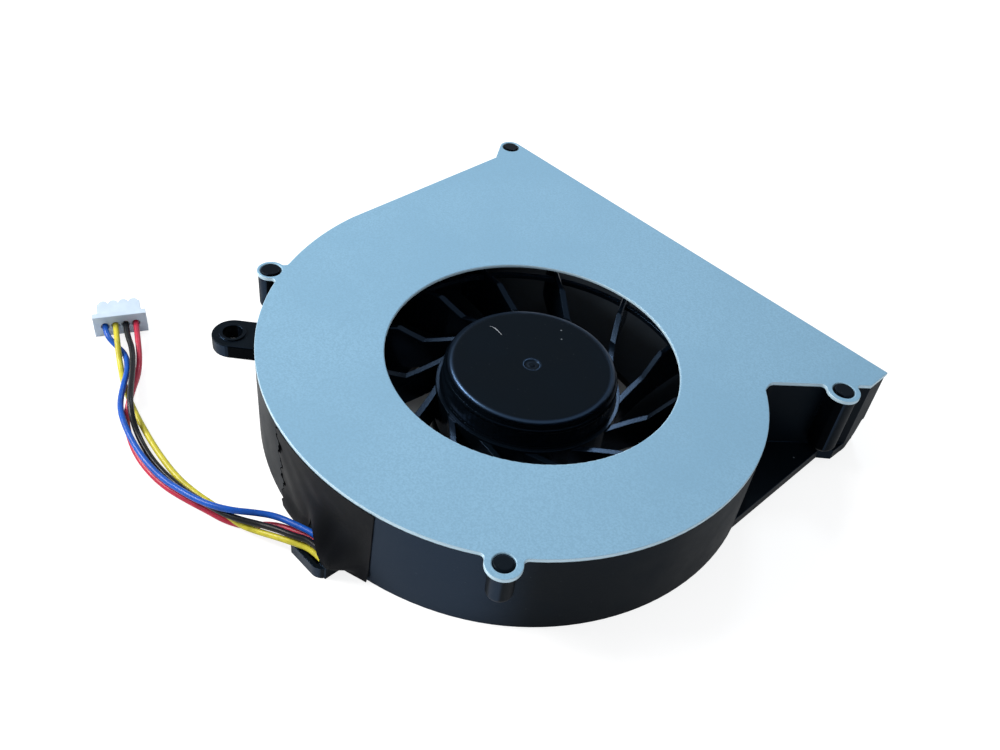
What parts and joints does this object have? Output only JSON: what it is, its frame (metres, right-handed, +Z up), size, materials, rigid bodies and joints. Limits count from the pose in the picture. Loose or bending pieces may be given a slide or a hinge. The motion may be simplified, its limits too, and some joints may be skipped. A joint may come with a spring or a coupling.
{
  "type": "laptop cooling fan",
  "caption": "Flat centrifugal laptop blower: black scroll housing, pale metal cover with a round inlet, side outlet, bladed rotor and a short wire lead with plug.",
  "frame": {"origin": "on the rotor's axis, at the underside of the base", "axes": "+Z up through the metal cover and its inlet, +Y the way the air leaves the outlet"},
  "size_m": [0.0772, 0.0728, 0.0116],
  "materials": {
    "black_plastic": "moulded, satin",
    "cover_steel": "satin, fine grain, slightly blue",
    "rotor_plastic": "moulded, fine matte texture",
    "steel": "plain",
    "shaft_steel": "ground",
    "magnet": "bonded magnet",
    "bronze": "sintered",
    "brass": "turned",
    "wear_plastic": "plain",
    "laminations": "stamped",
    "insulator_plastic": "moulded",
    "copper_wire": "enamelled",
    "board": "solder mask",
    "chip_plastic": "moulded",
    "ceramic": "fired",
    "tape_film": "satin film",
    "blue_insulation": "extruded",
    "red_insulation": "extruded",
    "black_insulation": "extruded",
    "yellow_insulation": "extruded",
    "plug_plastic": "moulded",
    "tinned_metal": "tinned"
  },
  "bodies": {
    "housing": {"housing_base": "black_plastic", "top_cover": "cover_steel", "bearing_holder": "brass", "thrust_pad": "wear_plastic", "retaining_ring": "wear_plastic", "bearing_sleeve": "bronze", "oil_washer": "wear_plastic", "stator_core": "laminations", "upper_insulator": "insulator_plastic", "lower_insulator": "insulator_plastic", "stator_windings": "copper_wire", "circuit_board": "board", "driver_chip": "chip_plastic", "board_capacitors": "ceramic", "wire_tape": "tape_film", "blue_wire": "blue_insulation", "red_wire": "red_insulation", "black_wire": "black_insulation", "yellow_wire": "yellow_insulation", "plug_housing": "plug_plastic", "plug_terminals": "tinned_metal"},
    "rotor": {"impeller": "rotor_plastic", "rotor_cup": "steel", "ring_magnet": "magnet", "rotor_shaft": "shaft_steel"}
  },
  "joints": [
    {"name": "rotor_spin", "type": "hinge", "parent": "housing", "child": "rotor", "pos_m": [0, 0, 0], "axis": [0, 0, 1], "continuous": true}
  ]
}
